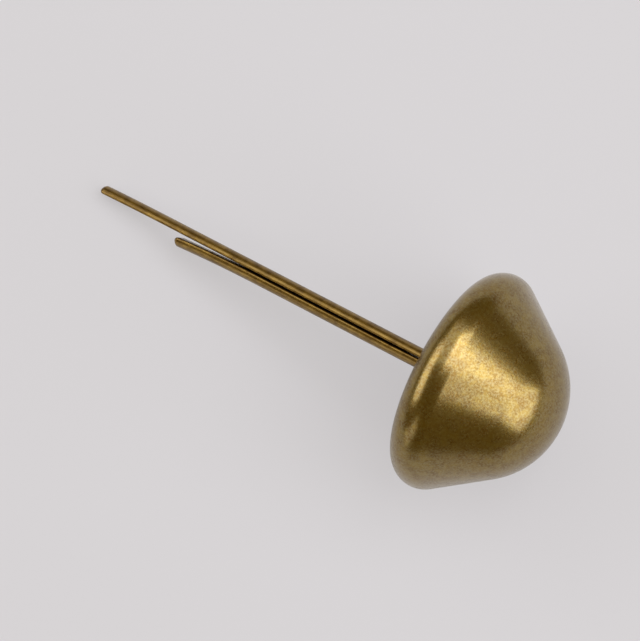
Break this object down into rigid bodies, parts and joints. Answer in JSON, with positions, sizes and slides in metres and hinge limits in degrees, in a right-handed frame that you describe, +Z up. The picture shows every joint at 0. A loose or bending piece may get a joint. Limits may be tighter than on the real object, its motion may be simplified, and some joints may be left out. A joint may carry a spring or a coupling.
{
  "type": "cotter pin bag foot",
  "caption": "Cone-shaped domed metal foot for a bag or case, with a split pin whose legs pass through the base and are bent apart to hold it.",
  "frame": {"origin": "on the table under the middle of the bounding box, as the foot lies at rest on the rim of its head and the tip of its longer leg", "axes": "+X from the legs' tips towards the head, +Y towards the longer leg, +Z up; the pin's own axis rises 14.15 degrees towards the head"},
  "size_m": [0.036, 0.0158, 0.0155],
  "materials": {
    "head_brass": "satin antique plating, darkened and mottled, worn lighter on the crown",
    "disc_brass": "dull antique plating, left as stamped",
    "pin_brass": "antique plated drawn wire, with fine rubs along its edges"
  },
  "bodies": {
    "root": {"head_shell": "head_brass", "back_disc": "disc_brass", "cotter_pin": "pin_brass"}
  },
  "joints": []
}
